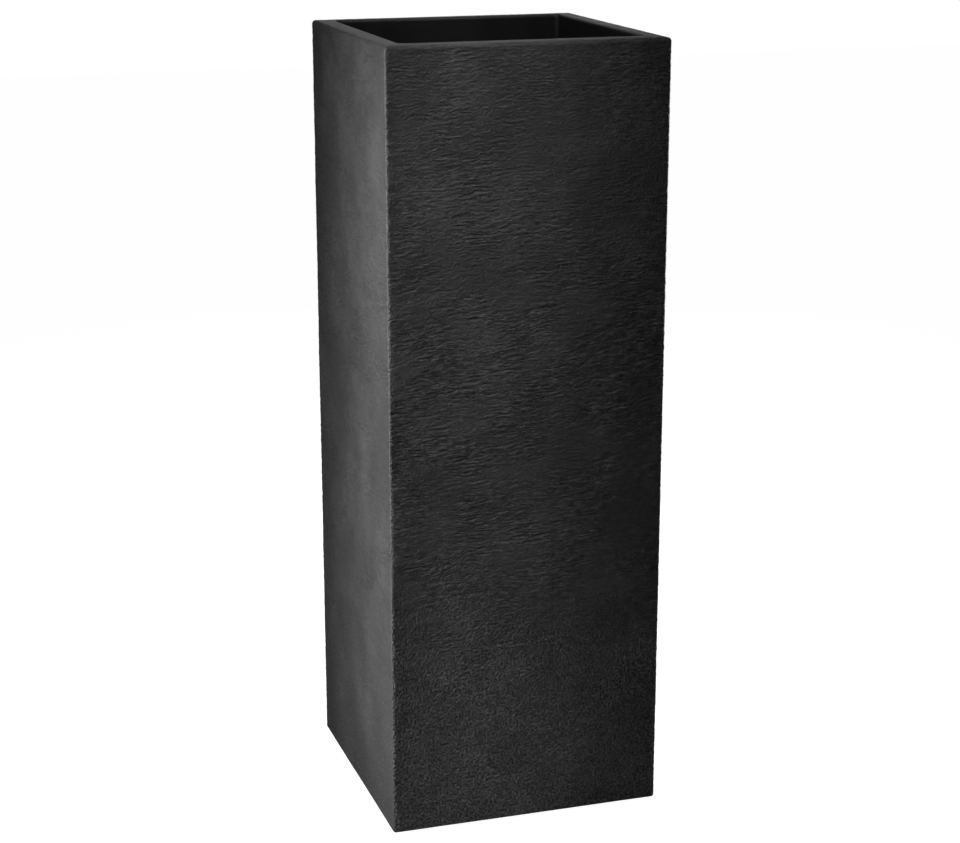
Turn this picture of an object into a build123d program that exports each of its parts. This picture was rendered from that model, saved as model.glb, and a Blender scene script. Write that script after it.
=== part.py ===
from build123d import *
import math
import os

# Column planter: a tall square moulding with a lift-out planting shelf, a drain plug and four foot pads.
# Millimetres, +Z up. The origin is on the ground under the planter's centre, and the front faces -Y.

# Outside of the shell
planter_height = 711.0  # ground to the top of the rim
rim_side = 256.0  # across two opposite walls at the rim
base_side = 255.0  # the same at the foot of the walls, so that the moulding leaves its mould
upright_edge_radius = 6.0
foot_edge_radius = 4.0
rim_outer_radius = 4.0
rim_inner_radius = 3.0

# Inside of the shell
rim_wall = 19.0  # wall thickness at the rim
foot_wall = 21.0  # wall thickness at the foot, because the core has its own draft
floor_thickness = 12.0
cavity_corner_radius = 5.0
floor_corner_bevel = 4.0  # where the walls meet the floor inside
drain_dish_radius = 70.0  # the floor falls towards the drain inside this radius
drain_dish_depth = 2.0

# Upright ribs inside the walls, whose tops carry the shelf
rib_top_height = 372.0  # above the ground
rib_reach = 12.0  # out from the wall, at the rib's top
rib_thickness = 6.0
bevel_share = 0.45  # most of a rib's thickness that the bevel of one edge may take
rib_spacing = 120.0  # between the two ribs of one wall
rib_end_bevel = 2.0

# Underside of the floor
base_recess = 9.0  # from the foot of the walls up to the floor's underside
base_lip = 15.0  # width of the ring that the walls end in
web_thickness = 5.0
web_setback = 2.0  # how far the webs stop short of the foot of the walls
collar_thickness = 4.0  # ring round the plug's flange
collar_gap = 3.0  # finger room between the flange and that ring

# Drain hole and plug
drain_radius = 14.0
plug_clearance = 0.08  # all round in the drain hole
plug_flange_radius = 20.0
plug_flange_thickness = 3.0
plug_nose_length = 3.0  # what stands up past the floor
plug_nose_chamfer = 1.5
plug_cup_radius = 9.0  # hollow in the plug's nose
plug_cup_depth = 9.0
plug_grip_radius = 6.0
plug_grip_height = 4.0
plug_grip_waist = 1.2  # groove behind the grip's edge

# Foot pads
pad_radius = 12.0
pad_thickness = 6.0
pad_stand = 3.0  # how far the pads hold the shell off the ground
pad_clearance = 0.2  # all round in its socket
pad_wall = 5.0  # solid round each socket

# Planting shelf
shelf_clearance = 2.0  # to the walls, all round, where the shelf rests
shelf_height = 18.0
shelf_plate = 4.0
shelf_skirt = 4.0
shelf_corner_clearance = 1.0  # extra room between the shelf's corners and the cavity's
shelf_inside_radius = 2.0
shelf_edge_radius = 1.5
shelf_cells = 5  # squares between the stiffening ribs, along each side
shelf_rib_thickness = 3.0
shelf_rib_setback = 4.0  # how far the stiffening ribs stop short of the skirt's foot
drain_slot_length = 24.0
drain_slot_width = 4.0
drain_slot_gap = 8.0  # solid between the two drain slots of a cell
finger_slot_length = 34.0
finger_slot_width = 26.0
finger_slot_row = 1  # how many cells the two finger slots lie from the middle one

# Places that follow from the sizes above
foot_height = pad_stand
floor_underside = foot_height + base_recess
floor_top = floor_underside + floor_thickness
shell_height = planter_height - foot_height
rim_cavity_side = rim_side - 2 * rim_wall
foot_cavity_side = base_side - 2 * foot_wall
cavity_draft = math.atan2((rim_cavity_side - foot_cavity_side) / 2, shell_height)
outer_draft = math.atan2((rim_side - base_side) / 2, shell_height)
cavity_side_at_seat = foot_cavity_side + 2 * math.tan(cavity_draft) * (rib_top_height - foot_height)
cavity_side_at_floor = foot_cavity_side + 2 * math.tan(cavity_draft) * (floor_top - foot_height)
shelf_side = cavity_side_at_seat - 2 * shelf_clearance
shelf_corner_radius = cavity_corner_radius + shelf_corner_clearance
collar_inner_radius = plug_flange_radius + collar_gap
collar_outer_radius = collar_inner_radius + collar_thickness
pad_boss_radius = pad_radius + pad_wall
pad_offset = base_side / 2 - base_lip - pad_radius
socket_depth = pad_thickness - pad_stand


def tapered_block(side, height, draft, corner_radius):
    """A square block on z = 0 that widens upwards by the draft angle, with rounded upright edges."""
    block = extrude(Rectangle(side, side), amount=height, taper=-math.degrees(draft))
    upright = [edge for edge in block.edges() if edge.bounding_box().size.Z > height / 2]
    return fillet(upright, corner_radius)


def outer_body():
    """The shell's outside, from the foot of the walls to the rim, with its foot rounded."""
    body = tapered_block(base_side, shell_height, outer_draft, upright_edge_radius)
    body = fillet(body.faces().sort_by(Axis.Z)[0].edges(), foot_edge_radius)
    return Pos(0, 0, foot_height) * body


def cavity():
    """The hollow above the floor, which widens towards the rim and is bevelled where it meets the floor."""
    depth = planter_height - floor_top
    hollow = tapered_block(cavity_side_at_floor, depth, cavity_draft, cavity_corner_radius)
    hollow = chamfer(hollow.faces().sort_by(Axis.Z)[0].edges(), floor_corner_bevel)
    return Pos(0, 0, floor_top) * hollow


def shelf_rib():
    """One upright rib on the wall at +X, from inside the floor up to the shelf's seat."""
    inner_x = cavity_side_at_seat / 2 - rib_reach
    outer_x = cavity_side_at_floor / 2 + foot_wall / 2
    length = rib_top_height - floor_top + floor_thickness / 2
    rib = Box(outer_x - inner_x, rib_thickness, length, align=(Align.MIN, Align.CENTER, Align.MAX))
    end_edges = rib.faces().sort_by(Axis.X)[0].edges().filter_by(Axis.Z)
    rib = chamfer(end_edges, min(rib_end_bevel, bevel_share * rib_thickness))
    return Pos(inner_x, 0, rib_top_height) * rib


def shelf_ribs():
    """Two ribs on each wall, the same way round on all four."""
    pair = [Pos(0, side * rib_spacing / 2, 0) * shelf_rib() for side in (-1, 1)]
    return [Rot(0, 0, 90 * wall) * rib for wall in range(4) for rib in pair]


def base_hollow():
    """The recess under the floor, less what stands in it: pad bosses, webs and the drain's collar."""
    side = base_side - 2 * base_lip
    hollow = Box(side, side, base_recess, align=(Align.CENTER, Align.CENTER, Align.MIN))
    hollow = fillet(hollow.edges().filter_by(Axis.Z), cavity_corner_radius)
    boss = Cylinder(pad_boss_radius, base_recess, align=(Align.CENTER, Align.CENTER, Align.MIN))
    for corner in GridLocations(2 * pad_offset, 2 * pad_offset, 2, 2):
        hollow -= corner * boss
    web_height = base_recess - web_setback
    webs = Box(side, web_thickness, web_height, align=(Align.CENTER, Align.CENTER, Align.MIN))
    webs += Rot(0, 0, 90) * webs
    webs += Cylinder(collar_outer_radius, web_height, align=(Align.CENTER, Align.CENTER, Align.MIN))
    webs -= Cylinder(collar_inner_radius, web_height, align=(Align.CENTER, Align.CENTER, Align.MIN))
    hollow -= Pos(0, 0, web_setback) * webs
    return Pos(0, 0, foot_height) * hollow


def column_shell():
    """Walls, rim, floor, inside ribs and underside in one moulding, with the drain hole and pad sockets."""
    shell = outer_body() - cavity()
    rim = shell.faces().sort_by(Axis.Z)[-1]
    shell = fillet(rim.outer_wire().edges(), rim_outer_radius)
    rim = shell.faces().sort_by(Axis.Z)[-1]
    shell = fillet(rim.inner_wires()[0].edges(), rim_inner_radius)
    for rib in shelf_ribs():
        shell += rib
    shell -= base_hollow()
    shell -= Pos(0, 0, floor_top) * Cone(
        drain_radius, drain_dish_radius, drain_dish_depth, align=(Align.CENTER, Align.CENTER, Align.MAX)
    )
    shell -= Pos(0, 0, floor_underside) * Cylinder(
        drain_radius, floor_thickness, align=(Align.CENTER, Align.CENTER, Align.MIN)
    )
    socket = Cylinder(pad_radius + pad_clearance, socket_depth, align=(Align.CENTER, Align.CENTER, Align.MIN))
    for corner in GridLocations(2 * pad_offset, 2 * pad_offset, 2, 2):
        shell -= corner * Pos(0, 0, foot_height) * socket
    return shell


def shelf_cell_opening(row, column):
    """The cut in one cell of the plate: a finger slot beside the middle cell, elsewhere two drain slots."""
    middle = shelf_cells // 2
    if row == middle and abs(column - middle) == finger_slot_row:
        return Sketch() + SlotOverall(finger_slot_length, finger_slot_width)
    slot_offset = (drain_slot_width + drain_slot_gap) / 2
    slot = Rectangle(drain_slot_length, drain_slot_width)
    return Pos(0, slot_offset) * slot + Pos(0, -slot_offset) * slot


def shelf_underside(inside, pitch):
    """The hollow under the shelf's plate, less the stiffening ribs that cross it both ways."""
    hollow_height = shelf_height - shelf_plate
    hollow = Box(inside, inside, hollow_height, align=(Align.CENTER, Align.CENTER, Align.MIN))
    hollow = fillet(hollow.edges().filter_by(Axis.Z), shelf_inside_radius)
    rib_height = hollow_height - shelf_rib_setback
    rib = Box(shelf_rib_thickness, inside, rib_height, align=(Align.CENTER, Align.CENTER, Align.MIN))
    for line in range(1, shelf_cells):
        placed = Pos(line * pitch - inside / 2, 0, shelf_rib_setback) * rib
        hollow -= placed
        hollow -= Rot(0, 0, 90) * placed
    return hollow


def planting_shelf():
    """A skirted plate with ribs below, drain slots in its cells and two finger slots to lift it by."""
    shelf = Box(shelf_side, shelf_side, shelf_height, align=(Align.CENTER, Align.CENTER, Align.MIN))
    shelf = fillet(shelf.edges().filter_by(Axis.Z), shelf_corner_radius)
    shelf = fillet(shelf.faces().sort_by(Axis.Z)[-1].edges(), shelf_edge_radius)
    inside = shelf_side - 2 * shelf_skirt
    pitch = inside / shelf_cells
    shelf -= shelf_underside(inside, pitch)
    first = (pitch - inside) / 2
    for row in range(shelf_cells):
        for column in range(shelf_cells):
            cell = Pos(first + column * pitch, first + row * pitch, shelf_height - shelf_plate)
            shelf -= cell * extrude(shelf_cell_opening(row, column), amount=shelf_plate)
    return Pos(0, 0, rib_top_height) * shelf


def drain_plug():
    """A rubber plug pushed up into the floor, hollow at its nose, with a round grip under its flange."""
    body_radius = drain_radius - plug_clearance
    nose = floor_top - drain_dish_depth + plug_nose_length
    flange_foot = floor_underside - plug_flange_thickness
    grip_foot = flange_foot - plug_grip_height
    profile = Polyline(
        (0, grip_foot),
        (plug_grip_radius, grip_foot),
        (plug_grip_radius, grip_foot + plug_grip_height / 2),
        (plug_grip_radius - plug_grip_waist, grip_foot + plug_grip_height / 2),
        (plug_grip_radius - plug_grip_waist, flange_foot),
        (plug_flange_radius, flange_foot),
        (plug_flange_radius, floor_underside),
        (body_radius, floor_underside),
        (body_radius, nose - plug_nose_chamfer),
        (body_radius - plug_nose_chamfer, nose),
        (plug_cup_radius, nose),
        (plug_cup_radius, nose - plug_cup_depth),
        (0, nose - plug_cup_depth),
        close=True,
    )
    return revolve(make_face(Plane.XZ * profile), axis=Axis.Z)


def foot_pad(side_x, side_y):
    """A rubber disc seated in the socket under one corner."""
    pad = Cylinder(pad_radius, pad_thickness, align=(Align.CENTER, Align.CENTER, Align.MIN))
    return Pos(side_x * pad_offset, side_y * pad_offset, 0) * pad


def export_node(name, solid):
    solid.label = name
    export_step(solid, f"parts/{name}.step")


os.makedirs("parts", exist_ok=True)
export_node("column_shell", column_shell())
export_node("planting_shelf", planting_shelf())
export_node("drain_plug", drain_plug())
for y_name, side_y in (("front", -1), ("back", 1)):
    for x_name, side_x in (("left", -1), ("right", 1)):
        export_node(f"foot_pad_{y_name}_{x_name}", foot_pad(side_x, side_y))
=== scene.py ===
import math
import bpy
import numpy as np
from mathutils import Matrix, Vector


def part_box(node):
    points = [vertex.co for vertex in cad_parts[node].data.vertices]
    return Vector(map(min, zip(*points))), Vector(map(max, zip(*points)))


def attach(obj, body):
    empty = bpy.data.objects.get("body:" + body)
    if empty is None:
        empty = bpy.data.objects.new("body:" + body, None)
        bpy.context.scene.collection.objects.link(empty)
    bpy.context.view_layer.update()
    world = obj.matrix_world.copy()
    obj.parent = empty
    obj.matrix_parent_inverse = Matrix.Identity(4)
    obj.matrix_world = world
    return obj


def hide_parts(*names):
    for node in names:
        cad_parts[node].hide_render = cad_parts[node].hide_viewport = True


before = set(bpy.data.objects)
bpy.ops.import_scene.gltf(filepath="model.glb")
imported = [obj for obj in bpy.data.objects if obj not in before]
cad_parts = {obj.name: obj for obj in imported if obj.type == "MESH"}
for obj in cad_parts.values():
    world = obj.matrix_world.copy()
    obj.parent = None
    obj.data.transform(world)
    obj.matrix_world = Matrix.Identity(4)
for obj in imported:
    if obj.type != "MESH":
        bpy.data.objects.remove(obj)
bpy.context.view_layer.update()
shellLow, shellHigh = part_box("column_shell")
print("frame loaded", sorted(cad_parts))

# Column planter: slate-textured walls, floor, ribs and underside, with the model's own lifting shelf, plug
# and feet. Metres, +Z up, the front faces -Y.

# Where the walls are, from the CAD box and from sizes that it doesn't give
shell = dict(
    foot=shellLow.z,
    top=shellHigh.z,
    rimHalf=(shellHigh.x - shellLow.x) / 2,
    footHalf=0.1275,  # half the side at the foot of the walls
    edgeRadius=0.0032,  # upright edges, crisper to the eye than the mould's
    footRadius=0.0026,
    rimOuterRadius=0.004,
    leastRadius=0.0006,  # of an edge in plan, where two roundings meet
    rimInnerRadius=0.003,
    rimWall=0.019,
    innerFootHalf=0.1065,  # the inside's half side, if it went down to the foot of the walls
    innerRadius=0.005,
    floorTop=0.024,
    floorUnder=0.012,
    lipHalf=0.1125,  # half the side of the recess under the floor
    lipEdge=0.001,
)

# How finely the walls are divided: the rows of each stretch of the section, and the columns across a wall
wallGrid = dict(
    rows=dict(
        lip=4, foot=6, footEdge=9, face=872, rimEdge=12, rimTop=18, innerEdge=10, inside=26, underside=4),
    columnsFlat=88,
    edgeTurns=(0, 12, 24, 35, 44.4, 45),  # degrees round each upright edge, close together at the mitre
)
stretches = {name: number for number, name in enumerate(wallGrid["rows"])}

sharpAngle = 40  # degrees between two faces, past which their edge is drawn sharp


def outerAt(z):
    # half the outside's width at a height, on the straight line from the foot's to the rim's
    draft = (shell["rimHalf"] - shell["footHalf"]) / (shell["top"] - shell["foot"])
    return shell["footHalf"] + draft * (z - shell["foot"])


def innerAt(z):
    # half the inside's width at a height, on the straight line from the foot's to the rim's
    draft = (shell["rimHalf"] - shell["rimWall"] - shell["innerFootHalf"]) / (shell["top"] - shell["foot"])
    return shell["innerFootHalf"] + draft * (z - shell["foot"])


def smoothStep(low, high, x):
    # 3t^2 - 2t^3 of how far x has gone from low to high
    t = np.clip((x - low) / (high - low), 0, 1)
    return t * t * (3 - 2 * t)


def arcRows(centreA, centreZ, radius, start, stop, count):
    # points of a profile's round corner, and the way out at each, from the angle's cosine and sine
    angle = np.radians(np.linspace(start, stop, count))
    return centreA + radius * np.cos(angle), centreZ + radius * np.sin(angle), np.cos(angle), np.sin(angle)


def lineRows(aPair, zPair, count, outA, outZ):
    # evenly spaced points of a profile's straight stretch
    flat = np.ones(count)
    return np.linspace(*aPair, count), np.linspace(*zPair, count), flat * outA, flat * outZ


def wallProfile():
    # the wall's closed section, from the lip's inner edge round the foot, up, over the rim and down inside:
    # a is the distance from the planter's axis, z the height, and outA and outZ the way out of the wall
    s, rows, at = shell, wallGrid["rows"], stretches
    edge = s["lipEdge"]
    footArcA = s["footHalf"] - s["footRadius"]
    footArcZ = s["foot"] + s["footRadius"]
    rimArcZ = s["top"] - s["rimOuterRadius"]
    rimArcA = outerAt(rimArcZ) - s["rimOuterRadius"]
    innerArcZ = s["top"] - s["rimInnerRadius"]
    innerArcA = innerAt(innerArcZ) + s["rimInnerRadius"]
    topOuter = s["rimHalf"] - s["rimOuterRadius"]
    topInner = s["rimHalf"] - s["rimWall"] + s["rimInnerRadius"]
    under = s["floorUnder"]
    parts = [
        arcRows(s["lipHalf"] + edge, s["foot"] + edge, edge, 180, 270, rows["lip"]),
        lineRows((s["lipHalf"] + edge, footArcA), (s["foot"], s["foot"]), rows["foot"], 0, -1),
        arcRows(footArcA, footArcZ, s["footRadius"], -90, 0, rows["footEdge"]),
        lineRows((outerAt(footArcZ), outerAt(rimArcZ)), (footArcZ, rimArcZ), rows["face"], 1, 0),
        arcRows(rimArcA, rimArcZ, s["rimOuterRadius"], 0, 90, rows["rimEdge"]),
        lineRows((topOuter, topInner), (s["top"], s["top"]), rows["rimTop"], 0, 1),
        arcRows(innerArcA, innerArcZ, s["rimInnerRadius"], 90, 180, rows["innerEdge"]),
        lineRows((innerAt(innerArcZ), innerAt(under)), (innerArcZ, under), rows["inside"], -1, 0),
        lineRows((innerAt(under) + edge, s["lipHalf"]), (under, under), rows["underside"], 0, -1),
    ]
    # each stretch starts where the one before it ends, so its own first point is left out
    parts = [[row[1:] if number else row for row in part] for number, part in enumerate(parts)]
    a, z, outA, outZ = (np.concatenate(rows) for rows in zip(*parts))
    kind = np.repeat(np.arange(len(parts)), [len(part[0]) for part in parts])

    # the radius of the upright edge in plan: the face's own, less how far the section has turned in from it
    turnedIn = outerAt(z) - a
    radius = np.where(kind <= at["rimEdge"], np.maximum(s["edgeRadius"] - turnedIn, s["leastRadius"]), 0)
    low = kind <= at["foot"]
    radius[low] = np.interp(a[low], (s["lipHalf"], footArcA), (s["innerRadius"], s["leastRadius"]))
    onTop = kind == at["rimTop"]
    topRadii = (s["innerRadius"] + s["rimInnerRadius"], s["leastRadius"])
    radius[onTop] = np.interp(a[onTop], (topInner, topOuter), topRadii)
    inside = kind >= at["innerEdge"]
    radius[inside] = s["innerRadius"] + np.maximum(a[inside] - innerAt(np.minimum(z[inside], innerArcZ)), 0)
    radius[kind == at["underside"]] = s["innerRadius"]
    return dict(a=a, z=z, outA=outA, outZ=outZ, radius=radius, kind=kind)


def gridMesh(name, grids, loopRows=False, loopColumns=False, capEnds=False):
    # sheets of four-sided faces between the points of one or more grids, closed round their rows or columns,
    # with the end columns or end rows filled; seen from outside, rows go up and columns to the right
    index = np.arange(grids[..., 0].size).reshape(grids.shape[:3])
    wrapped = np.concatenate([index, index[:, :1]], axis=1) if loopRows else index
    wrapped = np.concatenate([wrapped, wrapped[:, :, :1]], axis=2) if loopColumns else wrapped
    corners = (wrapped[:, :-1, :-1], wrapped[:, :-1, 1:], wrapped[:, 1:, 1:], wrapped[:, 1:, :-1])
    quads = np.stack(corners, axis=-1).reshape(-1, 4)
    ends = []
    if capEnds:
        ends = [index[:, :, 0], index[:, ::-1, -1]] if loopRows else [index[:, 0, ::-1], index[:, -1, :]]
    loops = np.concatenate([quads.ravel()] + [end.ravel() for end in ends])
    sizes = np.concatenate([np.full(len(quads), 4)] + [np.full(len(end), end.shape[1]) for end in ends])
    mesh = bpy.data.meshes.new(name)
    mesh.vertices.add(index.size)
    mesh.vertices.foreach_set("co", grids.astype(np.float32).ravel())
    mesh.loops.add(len(loops))
    mesh.loops.foreach_set("vertex_index", loops.astype(np.int32))
    mesh.polygons.add(len(sizes))
    mesh.polygons.foreach_set("loop_start", (np.cumsum(sizes) - sizes).astype(np.int32))
    mesh.polygons.foreach_set("use_smooth", np.full(len(sizes), True))
    mesh.update(calc_edges=True)
    mesh.validate()
    mesh.set_sharp_from_angle(angle=math.radians(sharpAngle))
    return mesh


def turned(x, y, z, quarters):
    # points turned about the planter's axis by quarter turns: x cos - y sin, x sin + y cos, z
    angle = quarters * math.pi / 2
    across = x * math.cos(angle) - y * math.sin(angle)
    back = x * math.sin(angle) + y * math.cos(angle)
    return np.stack([across, back, z + 0 * across], axis=-1)


def addPiece(name, mesh, material):
    # a finished piece of the shell, which rides on the planter's body and stands for the CAD shell
    mesh.materials.append(material)
    piece = bpy.data.objects.new(name, mesh)
    bpy.context.scene.collection.objects.link(piece)
    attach(piece, "planter")
    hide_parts("column_shell")
    return piece


def storeOnPoints(mesh, **values):
    # one number or one vector for each of the mesh's points, for its material to read
    for name, value in values.items():
        vector = value.ndim == 3
        layer = mesh.attributes.new(name, "FLOAT_VECTOR" if vector else "FLOAT", "POINT")
        layer.data.foreach_set("vector" if vector else "value", value.astype(np.float32).ravel())


# The split-slate relief, in metres: size of each feature up the wall and along it, and its depth
relief = dict(
    inset=0.00050,  # how far the middle of the relief lies behind the mould's face
    deepest=0.0013,
    broad=dict(size=(0.15, 0.12), depth=0.00025),
    swell=dict(size=(0.030, 0.060), depth=0.00010),
    ledge=dict(size=(0.0076, 0.022), depth=0.00009, plateau=0.74, steps=1.4),
    groove=dict(size=(0.0046, 0.016), depth=0.00024, width=0.24),
    groovePatches=dict(size=(0.016, 0.040), start=-0.2, full=1.0),  # where the grooves are
    split=dict(size=(0.0110, 0.036), depth=0.00032, width=0.09),
    splitPatches=dict(size=(0.030, 0.060), start=0.3, full=1.2),
    grain=dict(size=(0.0034, 0.009), depth=0.00012),
    stipple=dict(size=(0.0042, 0.0060), depth=0.00011, everywhere=0.2),
    stroke=dict(width=0.0010, lip=0.0017, lipShare=0.55, taper=0.6, ripple=1.5, wander=0.3),
    edge=dict(size=0.008, depth=0.00009, reach=0.005, seed=900),
    rimReach=0.006,  # where the relief fades out towards the rim and the foot
    rimShare=0.16,
    rimLine=dict(behind=0.0052, width=0.0008, depth=0.00022),  # a faint line round the rim's flat top
)

# How the layers of the slate run across a wall
layers = dict(
    levelAbove=0.60,  # the layers are level above this height
    tiltBelow=0.46,  # and rise across the wall below this one
    calmFrom=0.42,  # they grow weaker from this height up to the level part
    calmShare=0.66,  # share of their strength up there
    wander=dict(size=(0.16, 0.13), depth=0.0010),
    ripple=dict(size=(0.022, 0.034), depth=0.00026),
    smoothBelow=0.115,  # the layers give way to a fine stipple lower down
    smoothFade=0.150,
    fadeWander=14,  # how much the wander shifts that change
    patches=dict(size=(0.07, 0.10), start=-1.2, full=0.9),  # where the layers are strong
    leastShare=0.10,  # of their strength, where they have given way
    evenShare=0.40,  # and between the patches
)

# The clouds of noise that the relief is made of: metres between their points, and how many points they have
cloudGrid = dict(
    cell=(0.0004, 0.001),
    points=(2000, 400),
    edgeCell=(0.0005, 1.0),
    edgePoints=(2000, 4),
    sharpness=8.9,  # size of a feature over the spread of the blur that makes it
)

# Wear and painted shade, as shares of the colour: painted shade darker towards the foot, and beside the
# upright edges lower down
wearAndPaintedShade = dict(
    footShadeShare=0.24,
    footReach=0.030,
    edgeShadeShare=0.20,
    edgeReach=0.022,
    edgeTop=0.26,  # height where the painted shade beside the edges starts
    edgeFull=0.10,  # and where it is full
    wornReach=0.0035,  # how far the wear goes in from an upright edge
)

# One entry for each wall: which way it faces, in quarter turns from the front, its seed, how its layers rise,
# how strong they and its stipple are, and longer splits, each from one place across and up the wall to
# another, with its depth
walls = dict(
    wallFront=dict(turn=0, seed=41, rise=0.03, strength=1.50, grit=1.0, splits=[
        (0.040, 0.333, 0.092, 0.345, 0.00042),
        (0.092, 0.436, 0.113, 0.441, 0.00040),
        (-0.018, 0.468, 0.012, 0.474, 0.00030),
        (-0.009, 0.443, 0.016, 0.446, 0.00026),
        (-0.030, 0.204, 0.004, 0.208, 0.00036),
        (-0.060, 0.226, -0.034, 0.227, 0.00028),
        (0.050, 0.262, 0.100, 0.275, 0.00034),
        (-0.100, 0.392, -0.078, 0.395, 0.00026),
    ]),
    wallRight=dict(turn=1, seed=52, rise=0.12, strength=1.5, grit=1.0, splits=[
        (-0.060, 0.310, -0.010, 0.318, 0.00036),
        (0.030, 0.430, 0.080, 0.440, 0.00030),
    ]),
    wallBack=dict(turn=2, seed=63, rise=0.14, strength=1.55, grit=1.0, splits=[
        (-0.090, 0.500, -0.050, 0.503, 0.00034),
        (0.000, 0.350, 0.052, 0.358, 0.00034),
    ]),
    wallLeft=dict(turn=3, seed=74, rise=0.10, strength=0.75, grit=0.5, splits=[]),
)


def cloud(rng, points, cell, size):
    # white noise, blurred by a Gaussian so that its features have the given size each way, with a spread of 1
    sigma = np.array(size) / cloudGrid["sharpness"]
    across = np.fft.fftfreq(points[0], cell[0])[:, None] * sigma[0]
    along = np.fft.rfftfreq(points[1], cell[1])[None, :] * sigma[1]
    spectrum = np.fft.rfft2(rng.standard_normal(points)) * np.exp(-2 * np.pi**2 * (across**2 + along**2))
    field = np.fft.irfft2(spectrum, points)
    return field / field.std()


def sample(field, rows, columns):
    # the field between its points, as the mean of the four around each place, weighted by how near they are
    rowFloor = np.floor(rows).astype(int)
    columnFloor = np.floor(columns).astype(int)
    dr = rows - rowFloor
    dc = columns - columnFloor
    r0, r1 = rowFloor % field.shape[0], (rowFloor + 1) % field.shape[0]
    c0, c1 = columnFloor % field.shape[1], (columnFloor + 1) % field.shape[1]
    upper = field[r0, c0] * (1 - dc) + field[r0, c1] * dc
    lower = field[r1, c0] * (1 - dc) + field[r1, c1] * dc
    return upper * (1 - dr) + lower * dr


def dent(values, width):
    # 1 where the values cross zero, falling to both sides as a Gaussian
    return np.exp(-((values / width) ** 2))


def slateRelief(spec, height, across, edgeLeft, edgeRight):
    # height of the slate's face over its middle, for each row's height and each column's place on the wall:
    # terraces of a stretched cloud, less grooves where another cloud crosses zero, plus swells and grain
    rng = np.random.default_rng(spec["seed"])
    cell = cloudGrid["cell"]
    z, u = np.meshgrid(height, across, indexing="ij")

    def field(part, rows=z):
        # a new cloud with features of the part's size, read at each row's height and each column's place
        return sample(cloud(rng, cloudGrid["points"], cell, part["size"]), rows / cell[0], u / cell[1])

    def patches(part, rows=z):
        # from 0 to 1, as a new cloud goes from the part's start to its full
        return smoothStep(part["start"], part["full"], field(part, rows))

    # the layers' own height at each point, and how strong they are there
    tilt = spec["rise"] * smoothStep(layers["levelAbove"], layers["tiltBelow"], z)
    wander = field(layers["wander"]) * layers["wander"]["depth"]
    ripple = field(layers["ripple"]) * layers["ripple"]["depth"]
    flow = z - tilt * u + wander + ripple
    smooth = layers["smoothBelow"]
    layered = smoothStep(smooth, smooth + layers["smoothFade"], z + layers["fadeWander"] * wander)
    patchy = layers["evenShare"] + (1 - layers["evenShare"]) * patches(layers["patches"])
    calm = 1 - (1 - layers["calmShare"]) * smoothStep(layers["calmFrom"], layers["levelAbove"], z)
    ply = layers["leastShare"] + (1 - layers["leastShare"]) * layered * patchy
    ply = ply * calm * spec["strength"]

    step = field(relief["ledge"], flow) * relief["ledge"]["steps"]
    terrace = np.floor(step) + smoothStep(relief["ledge"]["plateau"], 1, step % 1)
    groove = dent(field(relief["groove"], flow), relief["groove"]["width"])
    groove = groove * patches(relief["groovePatches"], flow)
    split = dent(field(relief["split"], flow), relief["split"]["width"])
    split = split * patches(relief["splitPatches"], flow)
    out = field(relief["broad"]) * relief["broad"]["depth"]
    out = out + field(relief["swell"], flow) * relief["swell"]["depth"]
    out = out + ply * terrace * relief["ledge"]["depth"]
    out = out - ply * groove * relief["groove"]["depth"] - ply * split * relief["split"]["depth"]
    out = out + ply * field(relief["grain"], flow) * relief["grain"]["depth"]
    stipple = relief["stipple"]
    out = out + (1 + stipple["everywhere"] - layered) * field(stipple) * stipple["depth"]

    # each longer split is a groove along a line, deepest in its middle, with a lip below it
    stroke = relief["stroke"]
    for startU, startZ, endU, endZ, depth in spec["splits"]:
        along = (u - startU) / (endU - startU)
        taper = np.sin(np.pi * np.clip(along, 0, 1)) ** stroke["taper"]
        off = z - (startZ + along * (endZ - startZ)) - ripple * stroke["ripple"] + wander * stroke["wander"]
        out = out - depth * taper * dent(off, stroke["width"])
        out = out + depth * taper * stroke["lipShare"] * dent(off + stroke["lip"], stroke["width"])

    # beside the upright edges the edges' own relief takes over
    reach = relief["edge"]["reach"]
    half = across.max()
    leftShare = 1 - smoothStep(0, reach, across + half)
    rightShare = 1 - smoothStep(0, reach, half - across)
    out = out * (1 - leftShare) * (1 - rightShare)
    out = out + edgeLeft[:, None] * leftShare + edgeRight[:, None] * rightShare
    return out, flow, ply, 1 - layered


def edgeRelief(quarters, height):
    # height of an upright edge over its middle: a cloud along one line, the same for both walls there
    edge = relief["edge"]
    rng = np.random.default_rng(edge["seed"] + quarters % 4)
    points, cell = cloudGrid["edgePoints"], cloudGrid["edgeCell"]
    line = cloud(rng, points, cell, (edge["size"], 1.0))[:, 0]
    line = line / line.std()
    return np.interp(height, np.arange(points[0]) * cell[0], line) * edge["depth"]


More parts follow.
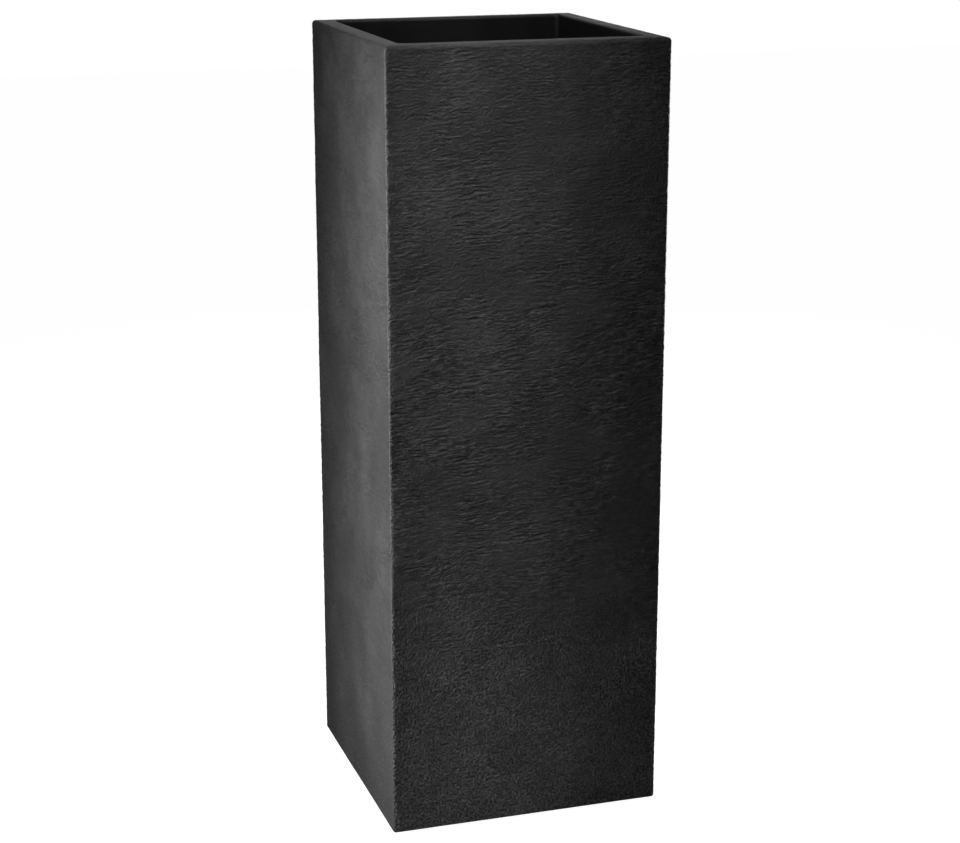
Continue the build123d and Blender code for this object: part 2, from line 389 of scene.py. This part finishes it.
def wallDepth(profile, bumps):
    # how far each point of the wall lies behind the mould's face: the inset less the relief, which fades
    # towards the foot and the rim and across the rim's flat top, plus the line round the rim
    a, z, kind = profile["a"], profile["z"], profile["kind"]
    reach, rimShare, line = relief["rimReach"], relief["rimShare"], relief["rimLine"]
    onTop = kind == stretches["rimTop"]
    share = smoothStep(0, reach, z - shell["foot"]) * smoothStep(0, reach, shell["top"] - z)
    share = np.where(kind == stretches["face"], rimShare + (1 - rimShare) * share, rimShare)
    share = np.where(kind >= stretches["innerEdge"], 0, share)
    topInner = shell["rimHalf"] - shell["rimWall"] + shell["rimInnerRadius"]
    topOuter = shell["rimHalf"] - shell["rimOuterRadius"]
    topShare = np.interp(a, (topInner, topOuter), (0, 1))
    inset = relief["inset"] * np.where(onTop, topShare, kind <= stretches["rimEdge"])
    inset = inset + onTop * line["depth"] * dent(a - shell["rimHalf"] + line["behind"], line["width"])
    depth = inset[:, None] - bumps * (share * np.where(onTop, topShare, 1))[:, None]
    return np.clip(depth, 0.0, relief["deepest"])


def makeWall(name, spec, profile, material):
    # a point of the wall: s runs from -1 to 1 between the middles of the two rounded edges, and turn goes
    # round each edge; x = s (a - r) + r sin(turn), y = -(a - r) - r cos(turn), z from the profile
    turns = np.radians(wallGrid["edgeTurns"])
    columns = wallGrid["columnsFlat"]
    ends = np.ones(len(turns))
    s = np.concatenate([-ends, np.linspace(-1, 1, columns + 1)[1:-1], ends])
    turn = np.concatenate([-turns[::-1], np.zeros(columns - 1), turns])
    half = shell["rimHalf"] - shell["edgeRadius"]
    across = s * half + turn * shell["edgeRadius"]
    onTop = profile["kind"] == stretches["rimTop"]
    height = profile["z"] + np.where(onTop, profile["a"].max() - profile["a"], 0)
    left = edgeRelief(spec["turn"], height)
    right = edgeRelief(spec["turn"] + 1, height)
    bumps, flow, ply, bare = slateRelief(spec, height, across, left, right)
    depth = wallDepth(profile, bumps)

    keys = ("a", "z", "radius", "outA", "outZ", "kind")
    a, z, r, outA, outZ, kind = (profile[key][:, None] for key in keys)
    rIn = r - depth * outA
    core = a - depth * outA - rIn
    x = s * core + rIn * np.sin(turn)
    y = -core - rIn * np.cos(turn)
    points = turned(x, y, z - depth * outZ, spec["turn"])
    mesh = gridMesh(name, points[None], loopRows=True, capEnds=True)

    # what the material reads: the layers' flow, their strength, the relief, bare places, wear, and painted
    # shade at the foot and beside the lower edges
    whole = np.zeros(x.shape)
    outside = kind <= stretches["rimEdge"]
    along = across + spec["turn"] * 2 * shell["rimHalf"]
    # the rim's inner rounding and the inside take the inside's near-black colour, which is painted shade
    inside = smoothStep(90, 180, np.degrees(np.arctan2(outZ, outA))) + (kind >= stretches["inside"])
    edgeDistance = half - np.abs(s) * half
    worn = np.exp(-edgeDistance / wearAndPaintedShade["wornReach"]) * (kind == stretches["face"])
    lowDown = smoothStep(wearAndPaintedShade["edgeTop"], wearAndPaintedShade["edgeFull"], z)
    # painted shade: darker towards the foot, and beside the upright edges lower down
    footAndEdgeShade = wearAndPaintedShade["footShadeShare"] * np.exp(-z / wearAndPaintedShade["footReach"])
    footAndEdgeShade = footAndEdgeShade + wearAndPaintedShade["edgeShadeShare"] * lowDown * np.exp(-edgeDistance / wearAndPaintedShade["edgeReach"]) * (1 - worn)
    storeOnPoints(
        mesh,
        slateFlow=np.stack([whole + along, flow, whole + spec["turn"]], axis=-1),
        slateHeight=bumps * 1000 * (kind <= stretches["rimTop"]),  # millimetres
        slatePly=ply * outside,
        slateBare=spec["grit"] * bare * outside,
        slateGrit=whole + spec["grit"],
        # painted shade at the foot and beside the lower edges
        slateGrime=whole + footAndEdgeShade * outside,
        inside=whole + np.clip(inside, 0, 1),
        worn=whole + worn,
    )
    return addPiece(name, mesh, material)


# The floor with the drain's collar under it, in metres
floorPanel = dict(
    holeRadius=0.014,
    dishRadius=0.070,
    dishDepth=0.002,
    dishRings=12,
    flatRings=9,
    cove=0.004,  # bevel between the floor and the walls
    coveBow=(0.4, 0.3),  # where its middle lies, in from the wall and up from the floor, as shares of it
    embed=0.002,  # how far a piece reaches into the one that carries it
    seam=0.0003,  # between the underside's last ring and the wall
    collarInner=0.023,
    collarOuter=0.027,
    collarFoot=0.005,  # height of the collar's and the webs' lower edge
    soft=0.0006,  # radius of their edges
    bow=0.3,  # how far the middle of such an edge lies in, as a share of its radius
    columns=192,
)


def roundedSquare(angle, half, radius):
    # distance from the centre to the outline of a square with rounded corners, along each angle: the flat
    # side at half over the cosine, or the far crossing with the corner's circle
    away = np.abs((angle + math.pi / 4) % (math.pi / 2) - math.pi / 4)
    flat = half / np.cos(away)
    core = half - radius
    inside = np.maximum(radius**2 - (core * (np.cos(away) - np.sin(away))) ** 2, 0)
    corner = core * (np.cos(away) + np.sin(away)) + np.sqrt(inside)
    return np.where(half * np.tan(away) <= core, flat, corner)


def makeFloor(material):
    # rings from the drain hole out over the dish to the cove, and back under the floor over the drain's
    # collar; a ring is a circle, or a rounded square where its last number is 1, or between them
    f = floorPanel
    top, under = shell["floorTop"], shell["floorUnder"]
    wallAt = innerAt(top)
    hole, inner, outer = f["holeRadius"], f["collarInner"], f["collarOuter"]
    cove, embed, soft, foot = f["cove"], f["embed"], f["soft"], f["collarFoot"]
    bow = soft * f["bow"]
    dishSpan = f["dishRadius"] - hole
    steps = np.linspace(0, 1, f["dishRings"])
    dish = [(hole + t * dishSpan, top - f["dishDepth"] * (1 - t), 0) for t in steps]
    flatSpan = wallAt - cove - f["dishRadius"]
    flat = [(f["dishRadius"] + t * flatSpan, top, t) for t in np.linspace(0, 1, f["flatRings"])[1:]]
    edge = [
        (wallAt - cove * f["coveBow"][0], top + cove * f["coveBow"][1], 1),
        (wallAt, top + cove, 1),
        (wallAt + embed, top + cove, 1),
        (wallAt + embed, under + embed / 2, 1),
        (wallAt - f["seam"], under, 1),
    ]
    belowSpan = wallAt - embed - outer
    below = [(outer + t * belowSpan, under, t) for t in np.linspace(1, 0, f["flatRings"])]
    collar = [
        (outer, foot + soft, 0),
        (outer - bow, foot + bow, 0),
        (outer - soft, foot, 0),
        (inner + soft, foot, 0),
        (inner + bow, foot + bow, 0),
        (inner, foot + soft, 0),
        (inner, under, 0),
        (hole + soft, under, 0),
        (hole, under + soft, 0),
        (hole, top - f["dishDepth"] - soft, 0),
    ]
    reach, height, square = np.array(dish + flat + edge + below + collar)[:, :, None].transpose(1, 0, 2)
    angle = np.linspace(0, 2 * math.pi, f["columns"], endpoint=False)[None, :]
    outline = reach * (1 - square) + square * roundedSquare(angle, reach, shell["innerRadius"])
    rings = np.stack([outline * np.cos(angle), outline * np.sin(angle), height + 0 * angle], axis=-1)
    mesh = gridMesh("floorPanel", rings[None, ::-1], loopRows=True, loopColumns=True)
    return addPiece("floorPanel", mesh, material)


# The upright ribs that the shelf stands on; tip is their distance from the planter's axis
ribs = dict(thickness=0.006, tip=0.09580, top=0.372, spacing=0.120, tipRadius=0.0022, topEdge=0.0005, rows=30)

roundPoints = 5  # along a rib's or a web's rounding


def makeRibs(material):
    # a section with a rounded tip, carried up from the floor to the seat, on each wall twice
    r = ribs
    turn = np.radians(np.linspace(0, 90, roundPoints))
    side, radius = r["thickness"] / 2, r["tipRadius"]
    arcAlong = radius - radius * np.sin(turn)
    arcAcross = side - radius + radius * np.cos(turn)
    root = shell["innerFootHalf"] + floorPanel["embed"] * 2 - r["tip"]
    along = np.concatenate([[root], arcAlong, arcAlong[::-1], [root]])
    across = np.concatenate([[side], arcAcross, -arcAcross[::-1], [-side]])
    upright = np.linspace(shell["floorTop"] - floorPanel["embed"], r["top"] - r["topEdge"], r["rows"])
    height = np.concatenate([upright, [r["top"]]])[:, None]
    shrink = np.concatenate([np.zeros(r["rows"]), [r["topEdge"]]])[:, None]
    x = r["tip"] + np.maximum(along[None, :], shrink)
    y = np.sign(across)[None, :] * (np.abs(across)[None, :] - shrink)
    places = [(wall, side) for wall in range(4) for side in (-1, 1)]
    bars = [turned(x, y + side * r["spacing"] / 2, height, wall) for wall, side in places]
    mesh = gridMesh("shelfRibs", np.array(bars), loopColumns=True, capEnds=True)
    return addPiece("shelfRibs", mesh, material)


# The webs under the floor, from the drain's collar to the lip
webs = dict(thickness=0.005, edgeRadius=0.0012, rows=24)


def makeWebs(material):
    # a section with a rounded lower edge, carried from the collar out to the lip, four times
    f = floorPanel
    turn = np.radians(np.linspace(0, 90, roundPoints))
    side, radius = webs["thickness"] / 2, webs["edgeRadius"]
    arcAcross = side - radius + radius * np.sin(turn)
    arcDown = f["collarFoot"] + radius - radius * np.cos(turn)
    across = np.concatenate([-arcAcross[::-1], arcAcross, [side, -side]])
    height = np.concatenate([arcDown[::-1], arcDown, [shell["floorUnder"] + f["embed"]] * 2])
    start, stop = f["collarOuter"] - f["embed"], shell["lipHalf"] + f["embed"]
    along = np.linspace(start, stop, webs["rows"])[:, None]
    bars = [turned(along, across, height, quarters) for quarters in range(4)]
    mesh = gridMesh("baseWebs", np.array(bars), loopColumns=True, capEnds=True)
    return addPiece("baseWebs", mesh, material)


# The bosses that the rubber pads sit in; offset is from the planter's axis to a pad's, both ways
bosses = dict(outer=0.017, socket=0.0122, offset=0.1005, foot=0.0034, columns=72)


def makeBosses(material):
    # a ring round each pad: its section is turned about the pad's axis
    b, f = bosses, floorPanel
    outer, socket, foot, soft = b["outer"], b["socket"], b["foot"], f["soft"]
    up = shell["floorUnder"] + f["embed"]
    bow = soft * f["bow"]
    section = [
        (socket, up),
        (socket, foot + soft),
        (socket + soft, foot),
        (outer - soft, foot),
        (outer - bow, foot + bow),
        (outer, foot + soft),
        (outer, up),
    ]
    reach, height = np.array(section).T[:, :, None]
    angle = np.linspace(0, 2 * math.pi, b["columns"], endpoint=False)[None, :]
    x = reach * np.cos(angle)
    y = reach * np.sin(angle)
    places = [(sideX * b["offset"], sideY * b["offset"]) for sideX in (-1, 1) for sideY in (-1, 1)]
    rings = [np.stack([placeX + x, placeY + y, height + 0 * angle], axis=-1) for placeX, placeY in places]
    mesh = gridMesh("padBosses", np.array(rings), loopRows=True, loopColumns=True)
    return addPiece("padBosses", mesh, material)


noiseMiddle = 0.5  # Blender's noise lies close round this
noiseSpread = 3.2  # and this brings it to about -1 to 1


class Value:
    # a node's output that arithmetic works on: each operator adds one Math node
    def __init__(self, graph, socket):
        self.graph = graph
        self.socket = socket

    def math(self, operation, *others, clamp=False):
        return self.graph.add("ShaderNodeMath", dict(operation=operation, use_clamp=clamp), [self, *others])

    def __add__(self, other):
        return self.math("ADD", other)

    def __mul__(self, other):
        return self.math("MULTIPLY", other)

    def __sub__(self, other):
        return self.math("SUBTRACT", other)

    def __rsub__(self, other):
        return self.graph.add("ShaderNodeMath", dict(operation="SUBTRACT"), [other, self])

    def __pow__(self, other):
        return self.math("POWER", other)

    __radd__ = __add__
    __rmul__ = __mul__

    def step(self, low, high):
        # 0 below low, 1 above high and smooth between them
        settings = dict(interpolation_type="SMOOTHSTEP")
        return self.graph.add("ShaderNodeMapRange", settings, [self, low, high, 0, 1])


class Graph:
    # the nodes of one material or sky, made one after another
    def __init__(self, owner):
        owner.use_nodes = True
        self.owner = owner
        self.tree = owner.node_tree
        self.tree.nodes.clear()

    def node(self, kind, settings=None, inputs=()):
        # settings are set first, then the inputs, by place or by name; a Value is linked, a number written
        node = self.tree.nodes.new(kind)
        for key, value in (settings or {}).items():
            setattr(node, key, value)
        pairs = inputs.items() if isinstance(inputs, dict) else enumerate(inputs)
        for key, value in pairs:
            if isinstance(value, Value):
                self.tree.links.new(value.socket, node.inputs[key])
            else:
                node.inputs[key].default_value = value
        return node

    def add(self, kind, settings=None, inputs=(), output=0):
        return Value(self, self.node(kind, settings, inputs).outputs[output])

    def attribute(self, name, output="Fac"):
        return self.add("ShaderNodeAttribute", dict(attribute_name=name), output=output)

    def place(self):
        return self.add("ShaderNodeTexCoord", output="Object")

    def parts(self, vector):
        # the three numbers of a vector
        split = self.node("ShaderNodeSeparateXYZ", inputs=[vector])
        return [Value(self, socket) for socket in split.outputs]

    def noise(self, vector, waves=1.0, detail=2.0, roughness=0.5, distortion=0.0):
        # cloudy noise round zero, with so many waves in a metre, the same each way or one number for each way
        if isinstance(waves, tuple):
            vector = self.add("ShaderNodeVectorMath", dict(operation="MULTIPLY"), [vector, waves])
            waves = 1.0
        inputs = dict(Vector=vector, Scale=waves, Detail=detail, Roughness=roughness, Distortion=distortion)
        raw = self.add("ShaderNodeTexNoise", dict(noise_dimensions="3D"), inputs)
        return (raw - noiseMiddle) * noiseSpread

    def mix(self, factor, first, second):
        # a colour between two colours
        return self.add("ShaderNodeMix", dict(data_type="RGBA"), {0: factor, 6: first, 7: second}, output=2)

    def shade(self, colour, factor):
        # a colour made lighter or darker by a factor
        grey = self.add("ShaderNodeCombineColor", None, [factor, factor, factor])
        settings = dict(data_type="RGBA", blend_type="MULTIPLY")
        return self.add("ShaderNodeMix", settings, {0: 1.0, 6: colour, 7: grey}, output=2)

    def finish(self, colour, roughness, height, **sockets):
        # a principled surface whose height, in millimetres, stands off it through a Bump node
        bump = self.add("ShaderNodeBump", None, dict(Strength=1.0, Distance=0.001, Height=height))
        inputs = {"Base Color": colour, "Roughness": roughness, "Normal": bump, **sockets}
        shader = self.add("ShaderNodeBsdfPrincipled", None, inputs)
        self.node("ShaderNodeOutputMaterial", None, dict(Surface=shader))
        return self.owner


# Colours and finish of the slate-textured resin
slateFinish = dict(
    colour=(0.052, 0.052, 0.0535, 1),
    dust=(0.080, 0.080, 0.081, 1),
    roughness=0.62,
    specular=0.42,
    # its patterns: waves in a metre along the layers, up them and from wall to wall, or the same each way
    patterns=dict(
        streak=dict(waves=(110, 400, 1), detail=1.0),
        fine=dict(waves=(240, 700, 1), detail=1.0),
        wisp=dict(waves=(60, 500, 1), detail=0.0),
        crack=dict(waves=(42, 230, 1), detail=3.0, roughness=0.6),
        patch=dict(waves=(16, 30, 1), detail=2.0),
        rough=dict(waves=(22, 34, 1), detail=1.0),
        stipple=dict(waves=480.0, detail=1.0),
        pit=dict(waves=240.0, detail=1.0),
        whorl=dict(waves=85.0, detail=3.0, distortion=1.6),
        mottle=dict(waves=13.0, detail=3.0, roughness=0.55),
        blotch=dict(waves=(70, 70, 150), detail=2.0),
    ),
    reach=dict(patch=(-0.7, 0.9), rough=(-1.0, 1.0), pit=(0.55, 1.15)),  # where these start and are full
    crackSharpness=7.0,
    crackPower=1.5,
    calmest=0.45,  # strength of the streaks where they are calm
    roughest=0.75,  # and what is added where they are rough
    # what each pattern adds or takes away: height in millimetres, dust, tone and roughness
    raised=dict(
        streak=0.44, fine=0.30, wisp=0.20, crack=0.60, stipple=0.30, bareStipple=1.10, whorl=0.42, pit=0.24),
    # the ridge share lightens where the relief stands high and darkens where it lies low: partly dust, partly
    # painted shade in the hollows
    dusted=dict(
        everywhere=0.28, ridgeDustAndShade=0.8, streak=0.30, fine=0.30, wisp=0.20, mottle=0.16, worn=0.05, stipple=0.70,
        whorl=0.50),
    # the crack share darkens the cracks: painted shade
    toned=dict(
        streak=0.24, fine=0.30, crack=0.50, stipple=0.10, bareStipple=1.0, whorl=0.14, pit=0.24, mottle=0.10,
        blotch=0.10, worn=0.12),
    roughened=dict(mottle=0.04, stipple=0.03, worn=0.08),
)

# The smooth resin inside, near black as painted shade for the deep inside, whose patterns add to its height,
# in millimetres, and to its roughness
insideFinishAndPaintedShade = dict(
    colour=(0.0095, 0.0095, 0.0100, 1),
    flow=(0.0135, 0.0135, 0.0140, 1),
    roughness=0.46,
    patterns=dict(
        wave=dict(waves=22.0, detail=1.0),
        grain=dict(waves=620.0, detail=2.0),
        flow=dict(waves=(70, 70, 4), detail=2.0),
    ),
    flowReach=(-0.8, 1.6),
    raised=dict(wave=0.10, grain=0.006, flow=0.012),
    roughened=dict(flow=0.05, grain=0.02),
)


def smoothResin(g):
    # colour, roughness and height of the smooth inside: a near-black colour, which is painted shade, with
    # slow waves, a fine grain and faint upright flow marks
    f = insideFinishAndPaintedShade
    raised, roughened = f["raised"], f["roughened"]
    place = g.place()
    wave = g.noise(place, **f["patterns"]["wave"])
    grain = g.noise(place, **f["patterns"]["grain"])
    flow = g.noise(place, **f["patterns"]["flow"])
    colour = g.mix(flow.step(*f["flowReach"]), f["colour"], f["flow"])
    roughness = f["roughness"] + flow * roughened["flow"] + grain * roughened["grain"]
    return colour, roughness, wave * raised["wave"] + grain * raised["grain"] + flow * raised["flow"]


def slateMaterial():
    # the height is the sum of the streaks, cracks, stipple, whorls and pits; the colour is a cloudy charcoal,
    # dustier on streaks, lighter on ridges and darker in the hollows between them (dust, and painted shade),
    # darker in the cracks as painted shade, darker in pits, darker towards the foot and beside the upright
    # edges lower down as painted shade, and darker on worn edges; the inside is smooth resin, near black as
    # painted shade
    f = slateFinish
    raised, dusted, toned, roughened = f["raised"], f["dusted"], f["toned"], f["roughened"]
    g = Graph(bpy.data.materials.new("slateResin"))
    place = g.place()
    flow = g.attribute("slateFlow", "Vector")
    height = g.attribute("slateHeight")
    ply = g.attribute("slatePly")
    bare = g.attribute("slateBare")
    grit = g.attribute("slateGrit")
    # painted shade towards the foot and beside the lower edges
    paintedShade = g.attribute("slateGrime")
    worn = g.attribute("worn")
    inside = g.attribute("inside")
    outside = 1 - inside

    def pattern(name, vector):
        return g.noise(vector, **f["patterns"][name])

    # short thin streaks that follow the layers, at three sizes, and cracks where one more cloud crosses zero
    streak = pattern("streak", flow)
    fine = pattern("fine", flow)
    wisp = pattern("wisp", flow)
    crack = 1 - pattern("crack", flow).math("ABSOLUTE") * f["crackSharpness"]
    patch = pattern("patch", flow).step(*f["reach"]["patch"])
    crack = ply * crack.math("MAXIMUM", 0.0) ** f["crackPower"] * patch
    rough = f["calmest"] + pattern("rough", flow).step(*f["reach"]["rough"]) * f["roughest"]

    # round marks, which are strongest where the layers have given way, and slow clouds
    stipple = pattern("stipple", place)
    pit = pattern("pit", place).step(*f["reach"]["pit"])
    whorl = pattern("whorl", place)
    mottle = pattern("mottle", place)
    blotch = pattern("blotch", place)

    streaks = streak * raised["streak"] + fine * raised["fine"] + wisp * raised["wisp"]
    slateHeight = ply * rough * streaks - crack * raised["crack"]
    slateHeight = slateHeight + (grit * raised["stipple"] + bare * raised["bareStipple"]) * stipple
    slateHeight = slateHeight + bare * (whorl * raised["whorl"] - pit * raised["pit"])

    streaks = streak * dusted["streak"] + fine * dusted["fine"] + wisp * dusted["wisp"]
    # dust, and painted shade: lighter on the relief's ridges, darker in its hollows
    dustAndShade = dusted["everywhere"] + height * dusted["ridgeDustAndShade"] + ply * streaks
    dustAndShade = dustAndShade + mottle * dusted["mottle"] + worn * dusted["worn"]
    dustAndShade = dustAndShade + bare * (stipple * dusted["stipple"] + whorl * dusted["whorl"])
    charcoal = g.mix(dustAndShade.math("ADD", 0.0, clamp=True), f["colour"], f["dust"])

    # the painted shade towards the foot and beside the lower edges darkens the tone here
    tone = 1 + mottle * toned["mottle"] + blotch * toned["blotch"] - worn * toned["worn"] - paintedShade
    tone = tone + stipple * (toned["stipple"] + bare * toned["bareStipple"])
    tone = tone + bare * (whorl * toned["whorl"] - pit * toned["pit"])
    # the cracks are darkened: painted shade
    tone = tone + ply * (streak * toned["streak"] + fine * toned["fine"]) - crack * toned["crack"]

    smoothColour, smoothRoughness, smoothHeight = smoothResin(g)
    # inside, the colour goes over to the near black of painted shade
    colour = g.mix(inside, g.shade(charcoal, tone), smoothColour)
    roughness = f["roughness"] + mottle * roughened["mottle"] + stipple * roughened["stipple"]
    roughness = roughness - worn * roughened["worn"]
    roughness = roughness * outside + smoothRoughness * inside
    total = slateHeight * outside + smoothHeight * inside
    return g.finish(colour, roughness, total, **{"Specular IOR Level": f["specular"]})


def insideMaterial():
    # the floor, ribs and underside, as smooth and as near black as the inside of the walls; the near black is
    # painted shade
    g = Graph(bpy.data.materials.new("insideResinPaintedShade"))
    return g.finish(*smoothResin(g), **{"Specular IOR Level": slateFinish["specular"]})


# The shelf's plastic, whose patterns add to its height, in millimetres, its tone and its roughness
shelfFinish = dict(
    colour=(0.020, 0.020, 0.021, 1),
    scuff=(0.034, 0.034, 0.035, 1),
    roughness=0.5,
    flowRings=90,  # waves of the flow lines in a metre, out from the middle
    flowDrift=6,  # and across, which bends them
    grain=dict(waves=900.0, detail=2.0),
    cloudy=dict(waves=18.0, detail=3.0),
    scratch=dict(waves=(35, 620, 300), detail=2.0, distortion=0.4),
    scratchReach=(0.75, 1.5),
    cloudyReach=(-0.2, 1.0),
    scuffShare=0.7,
    toned=dict(cloudy=0.08, flowLine=0.05),
    roughened=dict(cloudy=0.05, grain=0.03, scuffs=0.15),
    raised=dict(grain=0.012, flowLine=0.006),
)


def shelfMaterial():
    # black plastic: fine moulded grain, faint flow lines round the middle of the mould and light scuffs
    f = shelfFinish
    raised, toned, roughened = f["raised"], f["toned"], f["roughened"]
    g = Graph(bpy.data.materials.new("shelfPlastic"))
    place = g.place()
    x, y = g.parts(place)[:2]
    rings = (x * x + y * y) ** 0.5 * f["flowRings"]
    rings = g.add("ShaderNodeCombineXYZ", None, [rings, x * f["flowDrift"], y * f["flowDrift"]])
    flowLine = g.noise(rings, detail=2.0)
    grain = g.noise(place, **f["grain"])
    cloudy = g.noise(place, **f["cloudy"])
    scuffs = g.noise(place, **f["scratch"]).step(*f["scratchReach"]) * cloudy.step(*f["cloudyReach"])
    colour = g.mix(scuffs * f["scuffShare"], f["colour"], f["scuff"])
    colour = g.shade(colour, 1 + cloudy * toned["cloudy"] + flowLine * toned["flowLine"])
    roughness = f["roughness"] + cloudy * roughened["cloudy"] + grain * roughened["grain"]
    roughness = roughness + scuffs * roughened["scuffs"]
    return g.finish(colour, roughness, grain * raised["grain"] + flowLine * raised["flowLine"])


# The plug's and the pads' rubber
rubberFinish = dict(
    colour=(0.014, 0.014, 0.014, 1),
    dust=(0.040, 0.038, 0.036, 1),
    roughness=0.82,
    cloudy=dict(waves=60.0, detail=3.0),
    grain=dict(waves=1300.0, detail=2.0),
    dustReach=(0.1, 1.6),
    dustShare=0.6,
    grainTone=0.06,
    grainHeight=0.014,  # millimetres
    cloudyRoughness=0.05,
)


def rubberMaterial():
    # black rubber: matt, with a fine leathery bump and dust in patches
    f = rubberFinish
    g = Graph(bpy.data.materials.new("blackRubber"))
    place = g.place()
    cloudy = g.noise(place, **f["cloudy"])
    grain = g.noise(place, **f["grain"])
    colour = g.mix(cloudy.step(*f["dustReach"]) * f["dustShare"], f["colour"], f["dust"])
    colour = g.shade(colour, 1 + grain * f["grainTone"])
    return g.finish(colour, f["roughness"] + cloudy * f["cloudyRoughness"], grain * f["grainHeight"])


slate = slateMaterial()
# the near-black inside resin: painted shade
insideResinPaintedShade = insideMaterial()
print("materials made")

profile = wallProfile()
for wallName, spec in walls.items():
    makeWall(wallName, spec, profile, slate)
    print(wallName, "made")
for makePiece in (makeFloor, makeRibs, makeWebs, makeBosses):
    makePiece(insideResinPaintedShade)
print("floor, ribs and underside made")

shelfPlastic = shelfMaterial()
blackRubber = rubberMaterial()
for name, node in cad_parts.items():
    if name != "column_shell":
        node.data.materials.clear()
        node.data.materials.append(shelfPlastic if name == "planting_shelf" else blackRubber)
print("CAD pieces finished")


# Floor and sky
studio = dict(
    floorSize=12.0,
    floorColour=(0.50, 0.50, 0.50, 1),
    floorGlow=0.985,  # added for the camera alone, so that the floor reads as white paper
    white=(1, 1, 1, 1),  # colour of that glow and of the sky
    skyLight=0.012,
)

# Each lamp is a soft box: place and aim in metres, spread in degrees
lamps = dict(
    leftStrip=dict(
        place=(-0.40, -0.13, 0.365), aim=(-0.128, -0.12, 0.345), size=(0.08, 0.80), spread=120, watts=1.47),
    key=dict(place=(-0.35, -1.30, 2.2), aim=(-0.05, -0.128, 0.43), size=(0.16, 0.8), spread=6.8, watts=0.198),
    rimSoft=dict(
        place=(-0.42, -0.58, 1.50), aim=(-0.06, -0.10, 0.711), size=(0.30, 0.30), spread=40, watts=0.235),
    backHigh=dict(place=(0.6, 1.9, 0.9), aim=(0.05, 0.1, 0.36), size=(0.9, 1.2), spread=120, watts=2.4),
    backLow=dict(place=(0.35, 1.1, 0.30), aim=(0.0, 0.128, 0.36), size=(0.6, 0.5), spread=110, watts=4.0),
    rightLow=dict(place=(1.1, 0.30, 0.32), aim=(0.128, 0.0, 0.36), size=(0.5, 0.6), spread=110, watts=3.0),
)


def aimed(obj, place, aim):
    # stands at a place and looks along -Z at the aim
    obj.location = place
    obj.rotation_euler = (obj.location - Vector(aim)).to_track_quat("Z", "Y").to_euler()
    bpy.context.scene.collection.objects.link(obj)
    return obj


def makePaper():
    # the floor: pale and matt, with a glow for the camera alone
    size = studio["floorSize"] / 2
    corners = [(-size, -size, 0), (size, -size, 0), (size, size, 0), (-size, size, 0)]
    mesh = bpy.data.meshes.new("floor")
    mesh.from_pydata(corners, [], [(0, 1, 2, 3)])
    floor = bpy.data.objects.new("floor", mesh)
    bpy.context.scene.collection.objects.link(floor)
    g = Graph(bpy.data.materials.new("palePaper"))
    seen = g.add("ShaderNodeLightPath", output="Is Camera Ray")
    strength = seen * studio["floorGlow"]
    glow = g.add("ShaderNodeEmission", None, dict(Color=studio["white"], Strength=strength))
    paper = g.add("ShaderNodeBsdfDiffuse", None, dict(Color=studio["floorColour"]))
    both = g.add("ShaderNodeAddShader", None, [paper, glow])
    g.node("ShaderNodeOutputMaterial", None, dict(Surface=both))
    mesh.materials.append(g.owner)


def makeSky():
    # white where the camera sees it, and faint as a light
    world = bpy.data.worlds.new("sky")
    bpy.context.scene.world = world
    g = Graph(world)
    seen = g.add("ShaderNodeLightPath", output="Is Camera Ray")
    seen = seen.math("MAXIMUM", g.add("ShaderNodeLightPath", output="Is Transmission Ray"))
    strength = studio["skyLight"] + seen * (1.0 - studio["skyLight"])
    glow = g.add("ShaderNodeBackground", None, dict(Color=studio["white"], Strength=strength))
    g.node("ShaderNodeOutputWorld", None, dict(Surface=glow))


def makeLamps():
    # soft boxes that the camera doesn't see
    for name, lamp in lamps.items():
        light = bpy.data.lights.new(name, "AREA")
        light.shape = "RECTANGLE"
        light.size, light.size_y = lamp["size"]
        light.energy = lamp["watts"]
        light.spread = math.radians(lamp["spread"])
        aimed(bpy.data.objects.new(name, light), lamp["place"], lamp["aim"]).visible_camera = False


# The camera stands a little to the left of the front and looks down on it
photo = dict(
    width=960,
    focal=2179.1,  # in pixels of a picture that wide
    sensor=36,  # millimetres
    azimuth=-17.779,
    elevation=15.577,
    distance=2.874,  # this and the shifts are shares of the shell's height
    shiftRight=-0.0058,
    shiftUp=-0.0136,
)


def makeCamera():
    # back points from the planter to the camera: (sin a cos e, -cos a cos e, sin e); right and up, which is
    # back x right, complete its axes
    azimuth = math.radians(photo["azimuth"])
    elevation = math.radians(photo["elevation"])
    height = shell["top"] - shell["foot"]
    level = math.cos(elevation)
    back = Vector((math.sin(azimuth) * level, -math.cos(azimuth) * level, math.sin(elevation)))
    right = Vector((math.cos(azimuth), math.sin(azimuth), 0))
    shift = photo["shiftRight"] * right + photo["shiftUp"] * back.cross(right)
    target = Vector((0, 0, shell["foot"] + height / 2)) + height * shift
    data = bpy.data.cameras.new("camera")
    data.sensor_fit = "HORIZONTAL"
    data.sensor_width = photo["sensor"]
    data.lens = photo["focal"] / photo["width"] * photo["sensor"]
    camera = bpy.data.objects.new("camera", data)
    aimed(camera, target + back * photo["distance"] * height, target)
    bpy.context.scene.camera = camera


makePaper()
makeSky()
makeLamps()
makeCamera()
bpy.context.scene.view_settings.view_transform = "Standard"
print("studio made")
